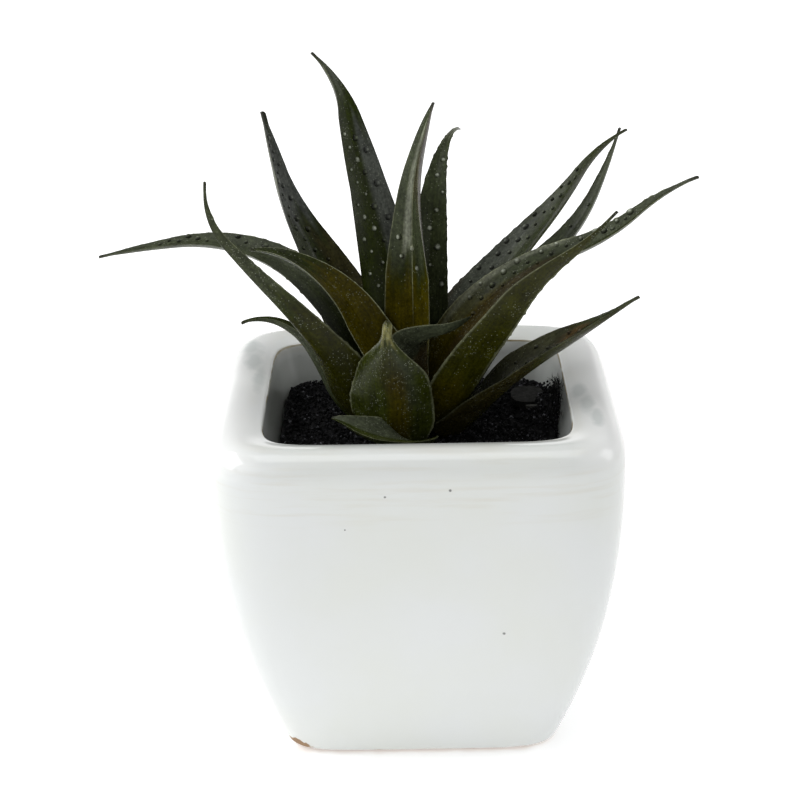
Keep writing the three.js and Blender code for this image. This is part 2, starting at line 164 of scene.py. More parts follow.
# Fine dark fibres on the right wall. The reach is how far one may go from its middle
# towards the wall.
FIBRE_COUNT = 170
FIBRE_THICKNESS = 0.06
FIBRE_LENGTHS = (0.6, 1.5)
FIBRE_REACH = 0.15
FIBRE_TOP_Z = 58.6
FIBRE_SHADE = 0.004
# Two flat chips on the grit.
PLATE_POINTS = 24
PLATE_SQUARENESS = 2.6
SLAB = {"place": (20.0, 9.3, 54.2), "size": (3.0, 4.2), "thick": 1.2, "shade": 0.012}
SLIVER = {"place": (21.4, 3.9, 54.0), "size": (2.0, 0.5), "thick": 0.6, "shade": 0.04}

# Leaves: driving values that the solids have too, with the table below.
BLADE_THICKNESS = 2.6
BLADE_THINNING = 0.6
BLADE_CUP = 0.3
BLADE_ROOT_SHARE = 0.75
BLADE_FLARE_END = 0.25
BLADE_NECK = (0.6, 0.95)
TUBERCLE_ROWS = (0.0, 0.8, 0.3, 1.0, 0.5)

# Leaves: what the solids don't have, or only with few sides. Crease, keel and edge are the
# exponents that bend the cup, the back and the thinning towards the margins.
BLADE_THINNEST = 0.35
BLADE_CREASE = 1.4
BLADE_KEEL = 1.5
BLADE_EDGE = 0.8
MIDRIB_STEPS = 400
BLADE_RING_SPACING = 0.6
BLADE_FEWEST_RINGS = 24
BLADE_COLUMNS = 31
# Rings that round the tip, as shares of the tip's own half width.
TIP_RINGS = (0.75, 0.5, 0.3, 0.15, 0.05)
# The keel line: its half width as a column, its height, and where along the blade it starts
# and ends and how softly.
KEEL_COLUMN = 0.035
KEEL_HEIGHT = 0.3
KEEL_RIDGE = (0.15, 0.85, 0.1)
KEEL_ROUGHNESS = 3
MARGIN_WAVE = 0.12
TOOTH_SPACING = 2.3
TOOTH_HEIGHTS = (0.1, 0.42)
TOOTH_WIDTH = 0.6
TOOTHED_SHARE = (0.12, 0.94)
# Tubercles. An exponent over 1 makes small radii the commoner ones.
TUBERCLE_RADII = (0.3, 0.62)
TUBERCLE_SMALLNESS = 1.5
TUBERCLE_HEIGHT = 0.3
TUBERCLE_SIDES = 14
# A tubercle's rings from its foot up: share of its radius and of its height.
TUBERCLE_RINGS = ((1.25, -0.35), (1.0, 0.02), (0.82, 0.45), (0.55, 0.82), (0.25, 0.98))
# At each ring: how bright it is beside the blade, and how much of the top's colour it takes.
# Both sets paint shade towards the foot and a highlight towards the top, the first set a strong
# white one.
HIGHLIT_TUBERCLE_PAINT = ((0.8, 0.7, 0.9, 1.1, 1.2), (0.0, 0.0, 0.1, 0.5, 0.9))
SHADED_TUBERCLE_PAINT = ((0.4, 0.3, 0.45, 0.9, 1.3), (0.0, 0.0, 0.0, 0.05, 0.15))

# turn, lift and roll: degrees from root to tip. root: distance from the axis, and height.
# bumps: tubercles on the inner face. bump_span, bump_band: where, along and across the blade.
LEAVES = {
    "leaf_tallest": dict(
        turn=(113, 125, 139, 149, 145, 188), lift=(70, 69, 73, 75, 76, 47), roll=(-19, -6),
        root=(3.6, 57.5), length=62.3, width=11.7, full=2.43, taper=0.79, neck=0.19,
        tip=0.4, bumps=24, bump_span=(0.28, 0.76), bump_band=(-0.65, 0.6)),
    "leaf_centre": dict(
        turn=(100, 94, 92, 71, 49, 39), lift=(76, 84, 89, 86, 69, 66), roll=(-56, -23),
        root=(1, 59), length=50.4, width=12, full=1.53, taper=0.7, neck=-0.2,
        tip=0.4, bumps=4, bump_span=(0.41, 0.54), bump_band=(-0.3, 0.65)),
    "leaf_left_gold": dict(
        turn=(176, 171, 162, 170, 179, 196), lift=(62, 58, 59, 42, 28, 4), roll=(-32, -12),
        root=(2, 58), length=39.2, width=11.3, full=1.31, taper=0.78, neck=0.15,
        tip=0.4, bumps=0),
    "leaf_curled": dict(
        turn=(239, 265, 286, 311, 342, 375), lift=(82, 92, 83, 36, 13, 36), roll=(-20, -23),
        root=(3, 54), length=28.6, width=7.6, full=2.38, taper=0.56, neck=0,
        tip=0.4, bumps=0),
    "leaf_back_left": dict(
        turn=(125, 129, 136, 157, 170, 166), lift=(16, 37, 51, 58, 77, 77), roll=(-18, -10),
        root=(3, 57), length=60.7, width=14.5, full=1.26, taper=0.73, neck=0.07,
        tip=0.85, bumps=20, bump_span=(0.5, 0.93), bump_band=(-0.4, 0.5)),
    "leaf_back_right": dict(
        turn=(76, 74, 73, 76, 72, 71), lift=(82, 83, 80, 69, 35, -15), roll=(-6, 22),
        root=(6.5, 54), length=57.4, width=9.5, full=1.51, taper=0.98, neck=0.39,
        tip=0.4, bumps=8, bump_span=(0.35, 0.8), bump_band=(-0.7, 0.1)),
    "leaf_right_high": dict(
        turn=(50, 39, 28, 22, 18, 17), lift=(59, 48, 43, 44, 55, 23), roll=(18, -15),
        root=(3.5, 57), length=59.9, width=13.1, full=1.3, taper=0.72, neck=0.4,
        tip=0.4, bumps=22, bump_span=(0.32, 0.82), bump_band=(0.1, 0.85)),
    "leaf_right_slim": dict(
        turn=(46, 40, 33, 26, 29, 35), lift=(45, 43, 39, 36, 61, 67), roll=(6, 4),
        root=(4, 54), length=62.6, width=10.4, full=1.17, taper=0.86, neck=0.27,
        tip=0.3, bumps=5, bump_span=(0.4, 0.8), bump_band=(-0.4, 0.4)),
    "leaf_right_long": dict(
        turn=(2, 2, 3, 2, 15, 21), lift=(83, 59, 37, 19, 36, 12), roll=(31, 17),
        root=(3, 56), length=64.4, width=13.2, full=0.98, taper=1.15, neck=-0.2,
        tip=0.4, bumps=24, bump_span=(0.27, 0.8), bump_band=(0.1, 0.85)),
    "leaf_left_long": dict(
        turn=(156, 154, 156, 165, 180, 194), lift=(66, 54, 39, 13, -7, -9), roll=(-24, -12),
        root=(4, 54), length=67.8, width=10.8, full=1.14, taper=0.81, neck=0.19,
        tip=0.33, bumps=14, bump_span=(0.5, 0.85), bump_band=(-0.85, -0.1)),
    "leaf_left_hooked": dict(
        turn=(208, 211, 196, 196, 201, 192), lift=(30, 62, 54, 49, 51, 97), roll=(57, 10),
        root=(4.5, 53), length=58.7, width=12.5, full=0.9, taper=1.05, neck=-0.2,
        tip=0.3, bumps=0),
    "leaf_front_right": dict(
        turn=(315, 324, 324, 328, 350, 372), lift=(44, 58, 53, 56, 39, 44), roll=(-10, -15),
        root=(4, 54), length=54.1, width=13.3, full=1.99, taper=0.96, neck=0.63,
        tip=0.4, bumps=0),
    "leaf_left_small": dict(
        turn=(193, 188, 183, 182, 183, 188), lift=(3, 41, 66, 57, 25, -24), roll=(-4, -5),
        root=(4, 53.5), length=35.6, width=6.7, full=1.4, taper=0.93, neck=0.26,
        tip=0.4, bumps=0),
    "leaf_right_low": dict(
        turn=(331, 337, 354, 348, 346, 345), lift=(34, 48, 38, 33, 35, 32), roll=(-3, 16),
        root=(5, 52.5), length=43.6, width=11.8, full=1.96, taper=1.03, neck=0.75,
        tip=0.4, bumps=8, bump_span=(0.35, 0.75), bump_band=(-0.4, 0.6)),
    "leaf_front_short": dict(
        turn=(246, 266, 272, 258, 252, 245), lift=(55, 70, 82, 78, 82, 110), roll=(-10, -13),
        root=(10, 52), length=25.1, width=14.9, full=3, taper=0.65, neck=0.75,
        tip=1, bumps=0),
    "leaf_front_lying": dict(
        turn=(269, 244, 205, 182, 175, 181), lift=(31, 23, 20, 19, 26, 15), roll=(3, -18),
        root=(11, 53), length=19.5, width=9.5, full=2.61, taper=0.79, neck=0.27,
        tip=0.35, bumps=0),
    "leaf_low_back": dict(
        turn=(98, 95, 92), lift=(34, 42, 36, 26), roll=(0, 0),
        root=(4, 53.5), length=40, width=10.5, full=1.4, taper=0.8, neck=0.2,
        tip=0.4, bumps=8, bump_span=(0.4, 0.85), bump_band=(-0.5, 0.6)),
    "leaf_low_back_left": dict(
        turn=(143, 144, 145), lift=(26, 33, 29, 22), roll=(0, 0),
        root=(4.5, 52.5), length=26, width=10, full=1.4, taper=0.8, neck=0.2,
        tip=0.4, bumps=8, bump_span=(0.4, 0.85), bump_band=(-0.5, 0.6)),
    "leaf_low_back_right": dict(
        turn=(68, 64, 62), lift=(30, 38, 34, 26), roll=(0, 0),
        root=(4.5, 52.5), length=30, width=10, full=1.4, taper=0.8, neck=0.2,
        tip=0.4, bumps=8, bump_span=(0.4, 0.85), bump_band=(-0.5, 0.6)),
}

# Leaf colours, linear.
COLOURS = {
    "green": (0.015, 0.021, 0.0010),
    "outer green": (0.023, 0.029, 0.003),
    "gold": (0.046, 0.037, 0.0006),
    "olive": (0.022, 0.022, 0.0005),
    # A grey bloom, partly painted sheen.
    "bloom_and_sheen": (0.051, 0.059, 0.036),
    # Painted highlight: a pale sheen.
    "pale_sheen": (0.19, 0.20, 0.15),
    # Painted sheen: a grey-violet reflection.
    "violet_sheen": (0.064, 0.069, 0.061),
    "brown": (0.034, 0.024, 0.010),
    "rust": (0.080, 0.042, 0.010),
    "dark": (0.012, 0.015, 0.005),
    "yellow": (0.19, 0.18, 0.07),
    "edge": (0.20, 0.21, 0.13),
    "dark edge": (0.018, 0.014, 0.009),
    "tip": (0.016, 0.017, 0.008),
    # Painted highlight on the tubercles' tops.
    "tubercle highlight": (0.30, 0.32, 0.26),
    "dust": (0.30, 0.32, 0.25),
}
# Where the margins, the tips and the keel line take their colours. The keel line's third
# number is how softly it ends.
MARGIN_COLUMNS = (0.95, 0.995)
TIP_SHARES = (0.965, 0.995)
TIP_STRENGTH = 0.7
KEEL_LINE = (0.3, 0.85, 0.15)

# For each leaf: share of the length that its gold base takes, how pale its margins are,
# how toothed they are and how much white dust it carries. keel: a raised pale line along
# the outer face. fold: a pale line along the inner face. The column key gives where, across
# the blade, its tubercles start to carry pale painted highlights on their tops.
LOOKS = {
    "leaf_tallest": dict(gold=0.0, edge=-0.6, teeth=0.1, dust=0.4, highlight_from=-0.1),
    "leaf_centre": dict(gold=0.42, edge=0.6, teeth=0.1, dust=0.2, highlight_from=-2.0, fold=0.8),
    "leaf_left_gold": dict(gold=0.72, edge=1.3, teeth=0.3, dust=0.4),
    "leaf_curled": dict(gold=0.3, edge=0.7, teeth=0.3, dust=1.0),
    "leaf_back_left": dict(gold=0.0, edge=-0.6, teeth=0.2, dust=0.3),
    "leaf_back_right": dict(gold=0.0, edge=-0.2, teeth=0.5, dust=0.3, highlight_from=-2.0),
    "leaf_right_high": dict(gold=0.1, edge=-0.2, teeth=0.8, dust=0.4),
    "leaf_right_slim": dict(gold=0.1, edge=0.1, teeth=0.4, dust=0.2),
    "leaf_right_long": dict(gold=0.4, edge=0.6, teeth=0.8, dust=0.9, highlight_from=0.6),
    "leaf_left_long": dict(gold=0.0, edge=0.3, teeth=0.8, dust=0.3),
    "leaf_left_hooked": dict(gold=0.1, edge=0.4, teeth=1.1, dust=0.6),
    "leaf_front_right": dict(gold=0.3, edge=0.6, teeth=0.9, dust=0.5, keel=0.8),
    "leaf_left_small": dict(gold=0.0, edge=0.4, teeth=0.4, dust=0.3),
    "leaf_right_low": dict(gold=0.1, edge=0.3, teeth=0.6, dust=0.5),
    "leaf_front_short": dict(gold=0.0, edge=0.5, teeth=0.6, dust=1.0),
    "leaf_front_lying": dict(gold=0.0, edge=0.7, teeth=0.3, dust=0.8),
}
PLAIN_LOOK = dict(gold=0.1, edge=0.2, teeth=0.5, dust=0.3)

# Patches of colour: leaf, face, colour, strength, along the blade, across it. How softly
# they end, along and across. The grey bloom, violet and pale patches are partly painted sheen:
# reflections of the lamps painted into the leaves' colour.
PATCH_SOFTNESS = (0.05, 0.12)
PATCHES = (
    ("leaf_tallest", "inner", "violet_sheen", 0.85, (0.3, 0.76), (-1.2, -0.3)),
    ("leaf_tallest", "inner", "bloom_and_sheen", 0.7, (0.88, 1.1), (-1.2, 1.2)),
    ("leaf_centre", "inner", "bloom_and_sheen", 0.5, (0.42, 0.8), (-0.95, 0.1)),
    ("leaf_centre", "inner", "bloom_and_sheen", 0.6, (0.42, 1.1), (0.5, 1.2)),
    ("leaf_centre", "inner", "pale_sheen", 0.8, (0.5, 0.9), (0.06, 0.42)),
    ("leaf_centre", "inner", "brown", 0.75, (0.66, 0.94), (-1.2, -0.05)),
    ("leaf_centre", "outer", "brown", 0.9, (0.2, 1.1), (-1.2, 1.2)),
    ("leaf_left_gold", "outer", "bloom_and_sheen", 0.35, (0.3, 1.1), (-1.2, 1.2)),
    ("leaf_back_left", "inner", "bloom_and_sheen", 0.15, (0.3, 0.7), (-1.2, 1.2)),
    ("leaf_back_left", "inner", "violet_sheen", 0.95, (0.66, 0.95), (-1.2, 1.2)),
    ("leaf_back_left", "inner", "brown", 0.55, (0.2, 0.6), (-1.2, -0.3)),
    ("leaf_back_left", "inner", "dark", 0.9, (0.95, 1.1), (-1.2, 1.2)),
    ("leaf_back_right", "inner", "bloom_and_sheen", 0.4, (0.1, 1.1), (-1.2, 1.2)),
    ("leaf_back_right", "inner", "pale_sheen", 0.6, (0.9, 1.1), (-1.2, 1.2)),
    ("leaf_left_long", "inner", "bloom_and_sheen", 0.6, (0.2, 1.1), (-1.2, 1.2)),
    ("leaf_left_long", "outer", "bloom_and_sheen", 0.6, (0.2, 1.1), (-1.2, 1.2)),
    ("leaf_left_long", "inner", "green", 0.5, (0.1, 0.4), (-1.2, 1.2)),
    ("leaf_left_hooked", "outer", "bloom_and_sheen", 0.5, (0.6, 1.1), (-1.2, 1.2)),
    ("leaf_left_hooked", "outer", "olive", 0.9, (-0.1, 0.52), (-1.2, 1.2)),
    ("leaf_left_small", "outer", "bloom_and_sheen", 0.7, (0.3, 1.1), (-1.2, 1.2)),
    ("leaf_right_high", "inner", "bloom_and_sheen", 0.4, (0.25, 0.75), (-0.2, 1.2)),
    ("leaf_right_high", "inner", "violet_sheen", 0.6, (0.15, 0.6), (0.3, 1.2)),
    ("leaf_right_high", "inner", "brown", 0.5, (-0.1, 0.3), (-1.2, 1.2)),
    ("leaf_right_slim", "inner", "bloom_and_sheen", 0.55, (0.3, 1.0), (-1.2, 1.2)),
    ("leaf_right_slim", "outer", "bloom_and_sheen", 0.45, (0.3, 1.0), (-1.2, 1.2)),
    ("leaf_right_long", "inner", "bloom_and_sheen", 0.5, (0.2, 0.6), (0.2, 1.2)),
    ("leaf_right_long", "inner", "bloom_and_sheen", 0.8, (0.62, 1.1), (-0.6, 1.2)),
    ("leaf_right_long", "inner", "pale_sheen", 0.5, (0.25, 0.6), (0.75, 1.2)),
    ("leaf_right_long", "outer", "bloom_and_sheen", 0.55, (0.5, 1.0), (-1.2, 1.2)),
    ("leaf_right_long", "inner", "brown", 0.7, (0.0, 0.55), (-1.2, 0.1)),
    ("leaf_right_low", "inner", "brown", 0.6, (0.2, 0.75), (-0.2, 1.2)),
    ("leaf_right_low", "inner", "bloom_and_sheen", 0.4, (0.05, 0.7), (-1.2, 1.2)),
    ("leaf_right_low", "inner", "rust", 0.8, (0.66, 0.73), (-0.2, 0.6)),
    ("leaf_right_low", "outer", "olive", 0.7, (0.0, 0.9), (-1.2, 1.2)),
    ("leaf_right_low", "outer", "brown", 0.5, (0.0, 0.5), (-1.2, -0.2)),
    ("leaf_front_right", "outer", "olive", 0.9, (0.2, 0.9), (-1.2, 0.0)),
    ("leaf_front_right", "outer", "green", 0.8, (0.1, 1.0), (0.1, 1.2)),
    ("leaf_front_right", "outer", "brown", 0.6, (0.25, 0.5), (0.1, 0.5)),
    ("leaf_front_right", "outer", "gold", 0.6, (-0.1, 0.22), (-1.2, -0.1)),
    ("leaf_front_short", "outer", "gold", 0.95, (-0.1, 0.64), (0.04, 0.5)),
    ("leaf_front_short", "outer", "yellow", 0.95, (0.87, 0.97), (-1.2, 1.2)),
    ("leaf_front_short", "outer", "bloom_and_sheen", 0.5, (0.4, 0.84), (0.45, 0.7)),
    ("leaf_front_short", "outer", "brown", 0.3, (0.5, 0.8), (-0.2, 0.5)),
    ("leaf_curled", "outer", "bloom_and_sheen", 0.9, (0.35, 1.1), (-1.2, 1.2)),
    ("leaf_curled", "outer", "rust", 0.5, (0.1, 0.5), (0.3, 1.2)),
    ("leaf_curled", "inner", "brown", 0.5, (0.0, 0.6), (-1.2, 1.2)),
    ("leaf_curled", "inner", "bloom_and_sheen", 0.7, (0.6, 1.1), (-1.2, 1.2)),
    ("leaf_front_lying", "inner", "bloom_and_sheen", 0.9, (0.1, 1.1), (-1.2, 0.15)),
    ("leaf_front_lying", "inner", "outer green", 0.9, (0.0, 0.75), (0.2, 1.2)),
)

# Floor, in millimetres. Its glow rises behind the pot, between two distances in metres.
FLOOR_REACH = 4000.0
FLOOR_COLOURS = ((0.86, 0.86, 0.86), (0.88, 0.88, 0.88))
TABLE_GLOW = 0.45
FAR_TABLE_GLOW = 0.65
FAR_TABLE = (0.12, 0.45)

# Surroundings: a band of light round the horizon, dimmer towards +X and -X, and a dimmer sky.
# The spans are parts of a unit direction.
HORIZON_LIGHT = 0.72
HORIZON_SPAN = (0.12, 0.3)
SIDE_LIGHT = 0.55
SIDE_SPAN = (0.4, 0.8)
SKY_LIGHT = 0.32

# Softboxes, which all face one point, in metres: place, width and height, and then watts.
SOFTBOX_AIM = (0, 0, 0.06)
SOFTBOXES = (
    ("left_box", (-0.7, 0.1, 0.55), (0.75, 0.5), 4.6),
    ("right_box", (0.72, 0.15, 0.5), (0.4, 0.4), 1.0),
    ("front_box", (-0.5, -0.65, 0.62), (0.7, 0.5), 0.8),
    ("top_box", (0.0, -0.05, 0.95), (0.8, 0.6), 2.9),
)


def make_camera():
    data = bpy.data.cameras.new("camera")
    data.sensor_width = SENSOR_WIDTH
    data.lens = FOCAL_PIXELS / IMAGE_SIZE * SENSOR_WIDTH
    data.shift_x = (IMAGE_SIZE / 2 - PRINCIPAL_POINT[0]) / IMAGE_SIZE
    data.shift_y = (PRINCIPAL_POINT[1] - IMAGE_SIZE / 2) / IMAGE_SIZE
    data.clip_start = 0.01
    camera = bpy.data.objects.new("camera", data)
    bpy.context.scene.collection.objects.link(camera)
    elevation = math.radians(CAMERA_ELEVATION)
    back = Vector((0, -math.cos(elevation), math.sin(elevation)))
    tilt = Matrix.Rotation(math.radians(90 - CAMERA_ELEVATION), 4, "X")
    roll = Matrix.Rotation(math.radians(CAMERA_ROLL), 4, "Z")
    place = Matrix.Translation((Vector(CAMERA_TARGET) + back * CAMERA_DISTANCE) * MM)
    camera.matrix_world = place @ tilt @ roll
    bpy.context.scene.camera = camera


# Meshes.
def make_object(name, points, faces, material, tints=None, blade=None, smooth=True):
    """points in millimetres, faces as lists of indices, tints as linear colour and alpha.

    blade: for each point, where it lies along and across a leaf, for the veins.
    """
    mesh = bpy.data.meshes.new(name)
    mesh.from_pydata((np.asarray(points) * MM).tolist(), [], faces)
    mesh.validate()
    mesh.polygons.foreach_set("use_smooth", [smooth] * len(mesh.polygons))
    if tints is not None:
        layer = mesh.attributes.new("tint", "FLOAT_COLOR", "POINT")
        layer.data.foreach_set("color", np.asarray(tints, np.float32).ravel())
    if blade is not None:
        layer = mesh.attributes.new("blade", "FLOAT_VECTOR", "POINT")
        layer.data.foreach_set("vector", np.asarray(blade, np.float32).ravel())
    mesh.materials.append(material)
    mesh.update()
    made = bpy.data.objects.new(name, mesh)
    bpy.context.scene.collection.objects.link(made)
    return made


def capped_loft(ring_count, ring_size):
    """Quads between closed rings of points, and a cap on the first and the last ring."""
    faces = []
    for ring in range(ring_count - 1):
        lower = ring * ring_size
        upper = lower + ring_size
        for i in range(ring_size):
            after = (i + 1) % ring_size
            faces.append((lower + i, lower + after, upper + after, upper + i))
    last = (ring_count - 1) * ring_size
    faces.append(tuple(reversed(range(ring_size))))
    faces.append(tuple(range(last, last + ring_size)))
    return faces


class Pieces:
    """Closed surfaces gathered for one mesh."""

    def __init__(self):
        self.points = []
        self.faces = []
        self.tints = []
        self.count = 0

    def add(self, points, faces, tint):
        """tint: one colour with alpha for all the points, or one for each of them."""
        self.points.append(points)
        self.faces += [tuple(index + self.count for index in face) for face in faces]
        self.tints.append(np.broadcast_to(tint, (len(points), 4)))
        self.count += len(points)

    def make(self, name, material, **settings):
        points = np.concatenate(self.points)
        tints = np.concatenate(self.tints)
        return make_object(name, points, self.faces, material, tints, **settings)


def smoothstep(low, high, value):
    share = np.clip((np.asarray(value, float) - low) / (high - low), 0, 1)
    return share * share * (3 - 2 * share)


def lerp(a, b, share):
    return a + (b - a) * share


# Materials.
class Painter:
    """Adds nodes to one material."""

    def __init__(self, name):
        self.material = bpy.data.materials.new(name)
        self.material.use_nodes = True
        self.nodes = self.material.node_tree.nodes
        self.links = self.material.node_tree.links
        self.shader = self.nodes["Principled BSDF"]
        self.place = self.add("ShaderNodeTexCoord").outputs["Object"]

    def add(self, kind, inputs=None, **settings):
        node = self.nodes.new(kind)
        for key, value in settings.items():
            setattr(node, key, value)
        for key, value in (inputs or {}).items():
            if isinstance(value, bpy.types.NodeSocket):
                self.links.new(value, node.inputs[key])
            else:
                node.inputs[key].default_value = value
        return node

    def noise(self, scale, detail=3.0, roughness=0.5, stretch=None, place=None):
        place = place or self.place
        if stretch:
            place = self.add("ShaderNodeMapping", {"Vector": place, "Scale": stretch}).outputs[0]
        inputs = {"Vector": place, "Scale": scale, "Detail": detail, "Roughness": roughness}
        return self.add("ShaderNodeTexNoise", inputs).outputs["Fac"]

    def ranged(self, value, low, high, to_low=0.0, to_high=1.0):
        inputs = {0: value, 1: low, 2: high, 3: to_low, 4: to_high}
        return self.add("ShaderNodeMapRange", inputs, clamp=True).outputs[0]

    def math(self, operation, a, b=0.0):
        return self.add("ShaderNodeMath", {0: a, 1: b}, operation=operation).outputs[0]

    def mix(self, factor, a, b, blend="MIX"):
        inputs = {"Factor": factor}
        node = self.add("ShaderNodeMix", inputs, data_type="RGBA", blend_type=blend)
        for socket, value in ((node.inputs[6], a), (node.inputs[7], b)):
            if isinstance(value, bpy.types.NodeSocket):
                self.links.new(value, socket)
            else:
                socket.default_value = (*value, 1.0)
        return node.outputs[2]

    def height(self, z_low, z_high):
        """0 below z_low, 1 above z_high, in millimetres."""
        split = self.add("ShaderNodeSeparateXYZ", {0: self.place})
        return self.ranged(split.outputs["Z"], z_low * MM, z_high * MM)

    def near(self, centre, radii):
        """1 at a point, falling to 0 on a ball or an egg round it, in millimetres."""
        shift = self.add(
            "ShaderNodeVectorMath",
            {0: self.place, 1: [value * MM for value in centre]},
            operation="SUBTRACT").outputs[0]
        shrunk = self.add(
            "ShaderNodeVectorMath",
            {0: shift, 1: [1 / (radius * MM) for radius in np.broadcast_to(radii, 3)]},
            operation="MULTIPLY").outputs[0]
        away = self.add("ShaderNodeVectorMath", {0: shrunk}, operation="LENGTH")
        return self.ranged(away.outputs["Value"], 0.0, 1.0, 1.0, 0.0)

    def bump(self, height, strength, distance):
        inputs = {"Height": height, "Strength": strength, "Distance": distance * MM}
        node = self.add("ShaderNodeBump", inputs)
        self.links.new(node.outputs[0], self.shader.inputs["Normal"])

    def connect(self, name, value):
        self.links.new(value, self.shader.inputs[name])

    def set(self, name, value):
        self.shader.inputs[name].default_value = value


def pinhole_share(paint):
    """How dark the pinholes make each place."""
    pits = 0.0
    for point, radius in PINHOLES:
        pits = paint.math("MAXIMUM", pits, paint.near(point, radius * 2))
    uneven = paint.math("MULTIPLY", paint.noise(900.0, 2.0), 0.6)
    return paint.ranged(paint.math("ADD", pits, uneven), 0.68, 0.95, 0.0, 0.75)


# How much painted reflection each place on the rim takes.
def reflection_smear_share(paint):
    reflection_smears = 0.0
    for point, radii in REFLECTION_SMEARS:
        reflection_smears = paint.math("MAXIMUM", reflection_smears, paint.near(point, radii))
    uneven = paint.math("MULTIPLY", paint.noise(200.0, 4.0), 0.9)
    return paint.ranged(paint.math("ADD", reflection_smears, uneven), 0.75, 1.15, 0.0, 0.45)


def bare_clay_share(paint, z):
    ragged = paint.math("MULTIPLY", paint.noise(420.0, 3.0), 0.9 * MM)
    low, high = (height * MM for height in FOOT_EDGE_Z)
    foot = paint.ranged(paint.math("ADD", z, ragged), low, high, 1.0, 0.0)
    chip = paint.math("ADD", paint.near(*CHIP), paint.noise(500.0, 2.0))
    return paint.math("MAXIMUM", foot, paint.ranged(chip, 1.0, 1.06))


def glaze_material():
    paint = Painter("glaze")
    x, _, z = paint.add("ShaderNodeSeparateXYZ", {0: paint.place}).outputs
    painted = paint.add("ShaderNodeAttribute", attribute_name="tint").outputs["Color"]
    lip, inside_shade, _ = paint.add("ShaderNodeSeparateColor", {0: painted}).outputs
    colour = paint.mix(paint.ranged(paint.noise(55.0, 4.0), 0.35, 0.65), *GLAZE_COLOURS)

    streaks = paint.ranged(paint.noise(60.0, 5.0, stretch=(1.0, 1.0, 14.0)), 0.5, 0.75)
    under_rim = paint.math("MULTIPLY", paint.height(*UNDER_RIM_Z), streaks)
    colour = paint.mix(paint.math("MULTIPLY", under_rim, 0.5), colour, UNDER_RIM_COLOUR)
    colour = paint.mix(pinhole_share(paint), colour, PINHOLE_COLOUR)
    # Painted shade on the inside walls.
    colour = paint.mix(inside_shade, colour, INSIDE_SHADE_COLOUR)

    # Painted light: the rim's left and right shoulders are whitened.
    low, high = (width * MM for width in SHOULDER_LIGHT_X)
    beside = paint.ranged(paint.math("ABSOLUTE", x), low, high)
    shoulder_light = paint.math("MULTIPLY", beside, paint.height(*SHOULDER_LIGHT_Z))
    colour = paint.mix(shoulder_light, colour, SHOULDER_LIGHT_COLOUR)
    # Painted reflections: grey smears on the rim.
    colour = paint.mix(reflection_smear_share(paint), colour, REFLECTION_SMEAR_COLOUR)

    worn = paint.ranged(paint.noise(160.0, 3.0), 0.38, 0.58, 0.15, 1.0)
    colour = paint.mix(paint.math("MULTIPLY", lip, worn), colour, LIP_COLOUR)
    bare = bare_clay_share(paint, z)
    paint.connect("Base Color", paint.mix(bare, colour, CLAY_COLOUR))
    roughness = paint.ranged(bare, 0.0, 1.0, GLAZE_ROUGHNESS, CLAY_ROUGHNESS)
    paint.connect("Roughness", roughness)
    paint.bump(paint.noise(70.0, 2.0), 0.1, 0.35)
    return paint.material


def leaf_material():
    paint = Painter("leaf")
    tint = paint.add("ShaderNodeAttribute", attribute_name="tint")
    blade = paint.add("ShaderNodeAttribute", attribute_name="blade").outputs["Vector"]
    blotches = paint.ranged(paint.noise(300.0, 4.0), 0.3, 0.7, 0.7, 1.3)
    veins = paint.noise(1.0, 3.0, stretch=(0.09, 2.6, 1.0), place=blade)
    shade = paint.math("MULTIPLY", blotches, paint.ranged(veins, 0.3, 0.7, 0.78, 1.22))
    fine = paint.ranged(paint.noise(1900.0, 3.0), 0.3, 0.7, 0.65, 1.35)
    shade = paint.math("MULTIPLY", shade, fine)
    grey = paint.add("ShaderNodeCombineColor", {0: shade, 1: shade, 2: shade}).outputs[0]
    colour = paint.mix(1.0, tint.outputs["Color"], grey, "MULTIPLY")
    specks = paint.add("ShaderNodeTexVoronoi", {"Vector": paint.place, "Scale": 3400.0})
    speck = paint.ranged(specks.outputs["Distance"], 0.1, 0.42, 0.6, 0.0)
    lot = paint.add("ShaderNodeSeparateColor", {0: specks.outputs["Color"]}).outputs[0]
    gathered = paint.ranged(paint.noise(260.0, 2.0), 0.44, 0.64, 0.04, 0.7)
    few = paint.math("MULTIPLY", tint.outputs["Alpha"], gathered)
    chosen = paint.math("LESS_THAN", lot, few)
    colour = paint.mix(paint.math("MULTIPLY", speck, chosen), colour, COLOURS["dust"])
    paint.connect("Base Color", colour)
    paint.set("Specular IOR Level", 0.14)
    paint.connect("Roughness", paint.ranged(paint.noise(700.0, 3.0), 0.3, 0.7, 0.22, 0.38))
    relief = paint.math("ADD", paint.noise(2600.0, 2.0), paint.math("MULTIPLY", veins, 0.6))
    paint.bump(relief, 0.25, 0.14)
    return paint.material


def grit_material():
    paint = Painter("grit")
    tint = paint.add("ShaderNodeAttribute", attribute_name="tint").outputs["Color"]
    fine = paint.ranged(paint.noise(2600.0, 3.0), 0.3, 0.75, 0.6, 1.9)
    grey = paint.add("ShaderNodeCombineColor", {0: fine, 1: fine, 2: fine}).outputs[0]
    paint.connect("Base Color", paint.mix(1.0, tint, grey, "MULTIPLY"))
    paint.set("Specular IOR Level", 0.12)
    paint.connect("Roughness", paint.ranged(paint.noise(900.0), 0.3, 0.7, 0.5, 0.9))
    paint.bump(paint.noise(3200.0, 2.0), 0.4, 0.15)
    return paint.material


def stem_material():
    paint = Painter("stem")
    fibres = paint.noise(300.0, 4.0, stretch=(1.0, 1.0, 0.15))
    colour = paint.mix(paint.ranged(fibres, 0.35, 0.65), (0.06, 0.05, 0.012), (0.13, 0.10, 0.03))
    paint.connect("Base Color", colour)
    paint.set("Roughness", 0.5)
    paint.bump(fibres, 0.3, 0.2)
    return paint.material


